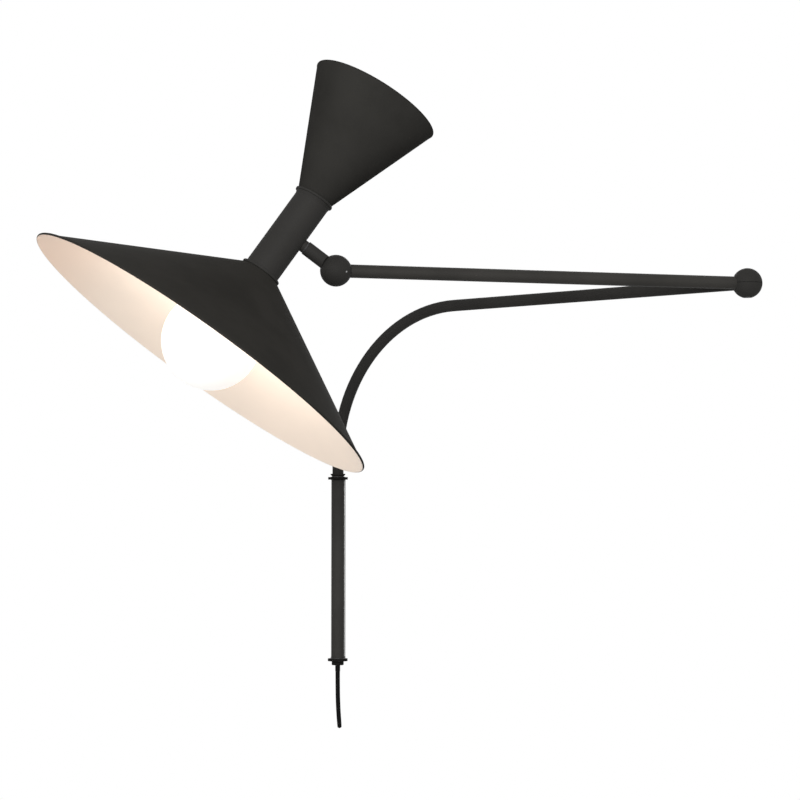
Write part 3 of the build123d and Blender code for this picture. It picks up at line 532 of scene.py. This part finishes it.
def lit_opal(name, glow, strength):
    """Opal glass lit from within, a little warmer towards its neck."""
    finish, material = new_finish(name)
    place = finish.turned_place(BODY_MIDDLE, (STEM_WAY, TILT_AXIS, -HEAD_UP))
    drop = finish.parts(place)[2]
    frost = finish.noise(place, scale=900.0, detail=2.0)
    near_neck = 1.0 - (drop - GLOBE_NECK_DROP).within(0.0, NECK_GLOW_REACH)
    finish.paint({
        "Base Color": finish.blend(frost, FROST_DARK, FROST_LIGHT),
        "Roughness": 0.3 + 0.1 * frost,
        "Emission Color": finish.blend(near_neck, rgba(glow), NECK_GLOW),
        "Emission Strength": strength,
    })
    return material


def plain_opal(name, opal):
    """Opal glass that is off, with a faint frost."""
    finish, material = new_finish(name)
    place = finish.place()
    frost = finish.noise(place, scale=900.0, detail=2.0)
    cloud = finish.noise(place, scale=45.0, detail=2.0)
    finish.paint({
        "Base Color": finish.blend(cloud, rgba(opal, level=0.96), rgba(opal, level=1.04)),
        "Roughness": 0.25 + 0.12 * frost,
        "Normal": finish.bump(frost, depth=0.00002, strength=0.3),
    })
    return material


def shown_level(finish, ambient):
    """Backdrop level: white where it is seen or mirrored, and the ambient level as light."""
    camera = finish.node("ShaderNodeLightPath", {}, {}, "Is Camera Ray")
    shown = camera.highest(camera.also("Is Glossy Ray")).highest(camera.also("Is Transmission Ray"))
    return ambient + shown * (1.0 - ambient)


def pale_floor(name, shade, clear, ambient):
    """Pale floor that keeps a shadow under the lamp and fades into the backdrop."""
    finish, material = new_finish(name)
    away = finish.node("ShaderNodeVectorMath", {"operation": "LENGTH"}, {0: finish.place()}, "Value")
    mottle = finish.noise(finish.place(), scale=3.0, detail=3.0)
    tone = finish.blend(mottle, rgba(shade, level=0.985), rgba(shade))
    matt = finish.node("ShaderNodeBsdfDiffuse", {}, {"Color": tone})
    level = shown_level(finish, ambient)
    white = finish.node("ShaderNodeEmission", {}, {"Color": WHITE, "Strength": level})
    faded = away.within(FADE_START * clear, clear)
    surface = finish.node("ShaderNodeMixShader", {}, {0: faded, 1: matt, 2: white})
    finish.node("ShaderNodeOutputMaterial", {}, {"Surface": surface})
    return material


def deselect():
    """Leave nothing selected."""
    bpy.ops.object.select_all(action="DESELECT")


def head_place(origin, up):
    """Frame with Z up an axis of the head and X away from the head ball."""
    across = up.cross(STEM_WAY).normalized()
    return Matrix.Translation(origin) @ Matrix((across.cross(up), across, up)).transposed().to_4x4()


def settle(piece, place):
    """Put a piece's place into its mesh."""
    deselect()
    piece.matrix_world = place
    piece.select_set(True)
    bpy.context.view_layer.objects.active = piece
    bpy.ops.object.transform_apply(location=True, rotation=True, scale=True)


def spun(name, profile, steps):
    """Spin a profile of radius and height round Z into a closed piece."""
    deselect()
    bpy.ops.mesh.primitive_plane_add(size=SEED_WIDTH)
    piece = bpy.context.object
    piece.name = name
    piece.data.name = name
    bpy.ops.object.mode_set(mode="EDIT")
    bpy.context.tool_settings.mesh_select_mode = (True, False, False)
    bpy.ops.mesh.select_all(action="SELECT")
    bpy.ops.mesh.merge(type="CENTER")
    bpy.ops.transform.translate(value=(profile[0][0], 0.0, profile[0][1]))
    for before, after in zip(profile, profile[1:]):
        step = (after[0] - before[0], 0.0, after[1] - before[1])
        bpy.ops.mesh.extrude_vertices_move(TRANSFORM_OT_translate={"value": step})
    bpy.ops.mesh.select_all(action="SELECT")
    bpy.ops.mesh.spin(steps=steps, angle=2.0 * math.pi, center=(0.0, 0.0, 0.0), axis=(0.0, 0.0, 1.0))
    bpy.ops.mesh.select_all(action="SELECT")
    bpy.ops.mesh.remove_doubles(threshold=MERGE_GAP)
    bpy.ops.mesh.normals_make_consistent(inside=False)
    bpy.ops.object.mode_set(mode="OBJECT")
    return piece


def smooth(piece):
    """Smooth shading with its sharp edges kept."""
    deselect()
    piece.select_set(True)
    bpy.context.view_layer.objects.active = piece
    bpy.ops.object.shade_smooth_by_angle(angle=SMOOTH_ANGLE)


def dress(piece, body, nodes, materials):
    """Paint a finished piece and hand it to the body that carries it."""
    for material in materials:
        piece.data.materials.append(material)
    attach(piece, body)
    if nodes:
        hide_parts(*nodes)


def made_finish(slot):
    """The finish that was made for a slot."""
    if f"{slot}_finish" not in bpy.data.materials:
        raise RuntimeError(f"the finish for {slot} isn't made yet")
    return bpy.data.materials[f"{slot}_finish"]


def cone_profile(neck, neck_height, rim, rim_height, hole, sheet, hem, way):
    """Closed profile of a spun cone that opens along way: flange, cone, hem rolled outwards, inside."""
    middle = Vector((rim - hem, rim_height - hem))
    slope = math.atan2(middle.x - neck, middle.y - neck_height)
    out = Vector((math.cos(slope), -math.sin(slope)))
    inner = middle - out * hem
    outer = inner + out * sheet
    spread = (outer.x - neck) / (outer.y - neck_height)
    inner_neck = inner.x - (inner.y - neck_height - sheet) * spread
    roll = []
    first = math.atan2(out.y, out.x)
    lean = math.acos((sheet - hem) / hem)
    for step in range(HEM_STEPS + 1):
        angle = first - lean + (lean + math.pi) * step / HEM_STEPS
        roll.append((middle.x + hem * math.cos(angle), middle.y + hem * math.sin(angle)))
    points = [
        (hole, neck_height),
        *((neck + sheet * across, neck_height + sheet * along) for across, along in NECK_CORNER),
        *roll,
        (inner_neck, neck_height + sheet),
        (hole, neck_height + sheet),
        (hole, neck_height),
    ]
    return [(radius, way * height) for radius, height in points]


def glass_profile(radius, middle, neck, neck_height, wall, way):
    """Closed profile of a round lamp's glass: outside from its pole to its open neck, and back inside."""
    points = []
    for curve, tube, turn in ((radius, neck, 1), (radius - wall, neck - wall, -1)):
        stop = -math.acos(tube / curve)
        pole = math.pi / 2
        angles = [pole + (stop - pole) * step / ROUND_STEPS for step in range(ROUND_STEPS + 1)]
        side = [(curve * math.cos(angle), middle + curve * math.sin(angle)) for angle in angles]
        side.append((tube, neck_height))
        points += side[::turn]
    return [(max(across, 0.0), way * height) for across, height in points]


def grooves(radius, start, end, count, depth):
    """Side of a turned piece with even round grooves, from start to end."""
    pitch = (end - start) / count
    points = []
    for groove in range(count):
        left = start + groove * pitch
        points += [
            (radius, left + LAND_START * pitch),
            (radius, left + LAND_END * pitch),
            (radius - depth, left + FLOOR_START * pitch),
            (radius - depth, left + FLOOR_END * pitch),
            (radius, left + pitch),
        ]
    return points


def line_inside(piece, rise, lip, lining):
    """Line the faces that look into a cone which opens along rise, and a share of its lip."""
    piece.data.materials.append(lining)
    for face in piece.data.polygons:
        out = Vector((face.center.x, face.center.y, 0.0)).normalized()
        facing = face.normal.dot(out) * (1.0 - lip) - face.normal.z * rise * lip
        face.material_index = 1 if facing < INSIDE_FACING else 0


class LAMP_OT_finishes(bpy.types.Operator):
    """Make the finishes and paint the frame's own pieces"""

    bl_idname = "wall_lamp.finishes"
    bl_label = "Paint Frame"

    def execute(self, context):
        colours = context.scene.wall_lamp_colours
        stage = context.scene.wall_lamp_stage
        made = {
            "black_paint": powder_coat("black_paint", colours.paint, dullness=0.55, gloss=0.05),
            "shade_paint": powder_coat("shade_paint", colours.shade_paint, dullness=0.8, gloss=0.02),
            "satin_steel": satin_steel("satin_steel", colours.steel),
            "zinc_steel": zinc_plate("zinc_steel", colours.zinc),
            "bearing_plastic": black_moulding("bearing_plastic", colours.moulding),
            "friction_fibre": pressed_fibre("friction_fibre", colours.fibre),
            "cord_sheath": smooth_sheath("cord_sheath", colours.sheath),
            "inner_sheath": smooth_sheath("inner_sheath", colours.sheath),
            "holder_plastic": black_moulding("holder_plastic", colours.moulding),
            "lamp_cap": threaded_cap("lamp_cap", colours.cap),
            "lit_glass": lit_opal("lit_glass", colours.glow, stage.glow),
            "opal_glass": plain_opal("opal_glass", colours.opal),
        }
        shade_enamel("shade_enamel", colours.inside)
        # Painted highlight: the small shade gets a slightly paler copy of the large shade's paint
        powder_coat("small_shade_paint", colours.small_shade_paint, dullness=0.8, gloss=0.02)
        # Painted shade: the lugs and the end nut get a darker copy of the black paint
        fitting_paint = powder_coat("fitting_paint", colours.fitting_paint, dullness=0.6, gloss=0.04)
        own = {
            # Painted highlight: the upper arm gets a paler, slightly glossier copy of the black paint
            "upper_arm_tube": powder_coat("tube_paint", colours.tube_paint, dullness=0.5, gloss=0.1),
            # Painted highlight: the pivot tube gets a paler copy of the black paint
            "pivot_tube": powder_coat("bar_paint", colours.bar_paint, dullness=0.55, gloss=0.05),
            "upper_lug": fitting_paint,
            "lower_lug": fitting_paint,
            "end_nut": fitting_paint,
            "tilt_stop_screw": zinc_plate("dull_zinc", colours.dull_zinc),
        }
        for entry in RECORD["subparts"]:
            node = frame["nodes"][entry["node"]]
            node.data.materials.clear()
            node.data.materials.append(own.get(entry["node"], made[entry["material_slot"]]))
        return {"FINISHED"}


class LAMP_OT_shades(bpy.types.Operator):
    """Spin both shades with their hems and line them"""

    bl_idname = "wall_lamp.shades"
    bl_label = "Shades"

    def execute(self, context):
        sizes = context.scene.wall_lamp_sizes
        cones = (
            ("shade_cone", "shade", "shade_paint", sizes.shade_neck, SHADE_NECK_DROP, sizes.shade_radius,
             sizes.shade_drop, sizes.shade_hole, sizes.shade_hem, -1.0, SHADE_LIP,
             head_place(BODY_MIDDLE, HEAD_UP)),
            ("small_shade_cone", "upper_shade", "small_shade_paint", sizes.small_shade_neck,
             SMALL_SHADE_NECK_RISE, sizes.small_shade_radius, sizes.small_shade_rise,
             sizes.small_shade_hole, sizes.small_shade_hem, 1.0, SMALL_SHADE_LIP,
             head_place(SMALL_MIDDLE, SMALL_UP)),
        )
        for name, node, paint, neck, neck_height, rim, rim_height, hole, hem, way, lip, place in cones:
            profile = cone_profile(neck, neck_height, rim, rim_height, hole, sizes.sheet, hem, way)
            cone = spun(name, profile, WIDE_STEPS)
            dress(cone, "lamp_head", [node], [made_finish(paint)])
            line_inside(cone, way, lip, made_finish("shade_enamel"))
            smooth(cone)
            settle(cone, place)
        return {"FINISHED"}


class LAMP_OT_lamps(bpy.types.Operator):
    """Spin the glass of the globe and of the small lamp, and light the globe"""

    bl_idname = "wall_lamp.lamps"
    bl_label = "Lamps"

    def execute(self, context):
        sizes = context.scene.wall_lamp_sizes
        lamps = (
            ("globe", "globe_glass", "lit_glass", sizes.globe_radius, sizes.globe_drop, sizes.globe_neck,
             GLOBE_NECK_DROP, -1.0, head_place(BODY_MIDDLE, HEAD_UP)),
            ("small_lamp", "upper_bulb_glass", "opal_glass", sizes.small_lamp_radius,
             sizes.small_lamp_rise, sizes.small_lamp_neck, SMALL_LAMP_NECK_RISE, 1.0,
             head_place(SMALL_MIDDLE, SMALL_UP)),
        )
        made = {}
        for name, node, slot, radius, middle, neck, neck_height, way, place in lamps:
            profile = glass_profile(radius, middle, neck, neck_height, sizes.glass, way)
            glass = spun(name, profile, NARROW_STEPS)
            dress(glass, "lamp_head", [node], [made_finish(slot)])
            smooth(glass)
            settle(glass, place)
            made[name] = glass
        globe = made["globe"]
        globe.visible_shadow = False
        deselect()
        bpy.ops.object.light_add(type="POINT", location=BODY_MIDDLE - HEAD_UP * sizes.globe_drop)
        bulb = context.object
        bulb.name = "globe_light"
        bulb.data.energy = context.scene.wall_lamp_stage.bulb
        bulb.data.color = context.scene.wall_lamp_colours.glow
        bulb.data.shadow_soft_size = BULB_SHARE * sizes.globe_radius
        bulb.parent = globe
        bulb.matrix_parent_inverse = globe.matrix_world.inverted()
        return {"FINISHED"}


class LAMP_OT_holders(bpy.types.Operator):
    """Spin both lampholders with their grooves"""

    bl_idname = "wall_lamp.holders"
    bl_label = "Lampholders"

    def execute(self, context):
        sizes = context.scene.wall_lamp_sizes
        edge = HOLDER_EDGE
        skirt = [
            (0.0, HOLDER_TOP_DROP),
            (sizes.holder_radius - edge, HOLDER_TOP_DROP),
            (sizes.holder_radius, HOLDER_TOP_DROP + edge),
            (sizes.holder_radius, HOLDER_SKIRT_DROP),
            (sizes.holder_skirt - SHOULDER_WIDTH, HOLDER_SKIRT_DROP),
            (sizes.holder_skirt, HOLDER_SKIRT_DROP + SHOULDER_DEPTH),
            *grooves(
                sizes.holder_skirt, HOLDER_SKIRT_DROP + GROOVES_FROM_SKIRT,
                HOLDER_END_DROP - GROOVES_FROM_END, GROOVE_COUNT, GROOVE_DEPTH,
            ),
            (sizes.holder_skirt, HOLDER_END_DROP - edge),
            (sizes.holder_skirt - edge, HOLDER_END_DROP),
            (sizes.holder_bore + edge, HOLDER_END_DROP),
            (sizes.holder_bore, HOLDER_END_DROP - edge),
            (sizes.holder_bore, HOLDER_FLOOR_DROP),
            (0.0, HOLDER_FLOOR_DROP),
        ]
        small = [
            (0.0, SMALL_HOLDER_RISE),
            (sizes.small_holder_radius - edge, SMALL_HOLDER_RISE),
            (sizes.small_holder_radius, SMALL_HOLDER_RISE + edge),
            *grooves(
                sizes.small_holder_radius, SMALL_SHADE_NECK_RISE + SMALL_GROOVES_FROM_NECK,
                SMALL_HOLDER_END_RISE - SMALL_GROOVES_FROM_END, SMALL_GROOVE_COUNT, SMALL_GROOVE_DEPTH,
            ),
            (sizes.small_holder_radius, SMALL_HOLDER_END_RISE - edge),
            (sizes.small_holder_radius - edge, SMALL_HOLDER_END_RISE),
            (sizes.small_holder_bore + edge, SMALL_HOLDER_END_RISE),
            (sizes.small_holder_bore, SMALL_HOLDER_END_RISE - edge),
            (sizes.small_holder_bore, SMALL_HOLDER_FLOOR_RISE),
            (0.0, SMALL_HOLDER_FLOOR_RISE),
        ]
        hanging = [(across, -drop) for across, drop in skirt]
        holders = (
            ("globe_holder", "lampholder", hanging, BODY_MIDDLE, HEAD_UP),
            ("small_lamp_holder", "upper_lampholder", small, SMALL_MIDDLE, SMALL_UP),
        )
        for name, node, profile, origin, up in holders:
            holder = spun(name, profile, NARROW_STEPS)
            dress(holder, "lamp_head", [node], [made_finish("holder_plastic")])
            smooth(holder)
            settle(holder, head_place(origin, up))
        return {"FINISHED"}


class LAMP_OT_cord(bpy.types.Operator):
    """Hang the cord from the strain relief"""

    bl_idname = "wall_lamp.cord"
    bl_label = "Cord"

    def execute(self, context):
        sizes = context.scene.wall_lamp_sizes
        curve = bpy.data.curves.new("cord_curve", "CURVE")
        curve.dimensions = "3D"
        curve.resolution_u = 24
        curve.bevel_depth = sizes.cord_diameter / 2
        curve.bevel_resolution = 6
        curve.use_fill_caps = True
        line = curve.splines.new("NURBS")
        line.points.add(len(CORD_ROUTE) - 1)
        for point, place, thickness in zip(line.points, CORD_ROUTE, CORD_THICKNESS):
            point.co = (*place, 1.0)
            point.radius = thickness
        line.order_u = 3
        line.use_endpoint_u = True
        piece = bpy.data.objects.new("hanging_cord", curve)
        context.scene.collection.objects.link(piece)
        dress(piece, "lower_arm", ["cord"], [made_finish("cord_sheath")])
        return {"FINISHED"}


class LAMP_OT_stage(bpy.types.Operator):
    """Set the camera, the lights, the floor and the backdrop"""

    bl_idname = "wall_lamp.stage"
    bl_label = "Stage"

    def execute(self, context):
        stage = context.scene.wall_lamp_stage
        colours = context.scene.wall_lamp_colours
        deselect()
        turn = (math.pi / 2 + stage.camera_pitch, 0.0, -stage.camera_yaw)
        bpy.ops.object.camera_add(location=stage.camera_place, rotation=turn)
        camera = context.object
        camera.data.sensor_width = SENSOR
        camera.data.sensor_fit = "HORIZONTAL"
        camera.data.lens = stage.lens
        camera.data.clip_end = CLIP_END
        context.scene.camera = camera
        for name, place, width, power in STAGE_LAMPS:
            way = STAGE_MIDDLE - Vector(place)
            bpy.ops.object.light_add(
                type="AREA", location=place, rotation=way.to_track_quat("-Z", "Y").to_euler()
            )
            lamp = context.object
            lamp.name = name
            lamp.data.shape = "DISK"
            lamp.data.size = width
            lamp.data.energy = getattr(stage, power)
        bpy.ops.mesh.primitive_circle_add(
            vertices=FLOOR_CORNERS, radius=FLOOR_EDGE * stage.floor_clear, fill_type="NGON",
            location=(STAGE_MIDDLE.x, STAGE_MIDDLE.y, -stage.floor_drop),
        )
        floor = context.object
        floor.name = "floor"
        paving = pale_floor("pale_floor", colours.floor, stage.floor_clear, stage.ambient)
        floor.data.materials.append(paving)
        world = bpy.data.worlds.new("backdrop")
        world.use_nodes = True
        context.scene.world = world
        backdrop = Finish(world.node_tree)
        level = shown_level(backdrop, stage.ambient)
        sky = backdrop.node("ShaderNodeBackground", {}, {"Color": WHITE, "Strength": level})
        backdrop.node("ShaderNodeOutputWorld", {}, {"Surface": sky})
        context.scene.view_settings.view_transform = "Standard"
        return {"FINISHED"}


class LAMP_PT_panel(bpy.types.Panel):
    """Sidebar panel with the lamp's sizes, colours and steps"""

    bl_idname = "LAMP_PT_panel"
    bl_label = "Wall Lamp"
    bl_space_type = "VIEW_3D"
    bl_region_type = "UI"
    bl_category = "Wall Lamp"

    def draw(self, context):
        layout = self.layout
        for step in STEPS:
            layout.operator(step.bl_idname)
        for group in (
            context.scene.wall_lamp_sizes, context.scene.wall_lamp_colours, context.scene.wall_lamp_stage
        ):
            box = layout.box()
            for name in group.bl_rna.properties.keys():
                if name not in ("rna_type", "name"):
                    box.prop(group, name)


STEPS = (LAMP_OT_finishes, LAMP_OT_shades, LAMP_OT_lamps, LAMP_OT_holders, LAMP_OT_cord, LAMP_OT_stage)
GROUPS = (LampSizes, LampColours, StageSettings)


def register():
    """Add the classes and the scene's settings."""
    for group in (*GROUPS, *STEPS, LAMP_PT_panel):
        bpy.utils.register_class(group)
    bpy.types.Scene.wall_lamp_sizes = bpy.props.PointerProperty(type=LampSizes)
    bpy.types.Scene.wall_lamp_colours = bpy.props.PointerProperty(type=LampColours)
    bpy.types.Scene.wall_lamp_stage = bpy.props.PointerProperty(type=StageSettings)


def unregister():
    """Take the settings and the classes away."""
    del bpy.types.Scene.wall_lamp_stage
    del bpy.types.Scene.wall_lamp_colours
    del bpy.types.Scene.wall_lamp_sizes
    for group in reversed((*GROUPS, *STEPS, LAMP_PT_panel)):
        bpy.utils.unregister_class(group)


def main():
    """Build the lamp's looks in order."""
    register()
    bpy.ops.wall_lamp.finishes()
    bpy.ops.wall_lamp.shades()
    bpy.ops.wall_lamp.lamps()
    bpy.ops.wall_lamp.holders()
    bpy.ops.wall_lamp.cord()
    bpy.ops.wall_lamp.stage()


if __name__ == "__main__":
    main()
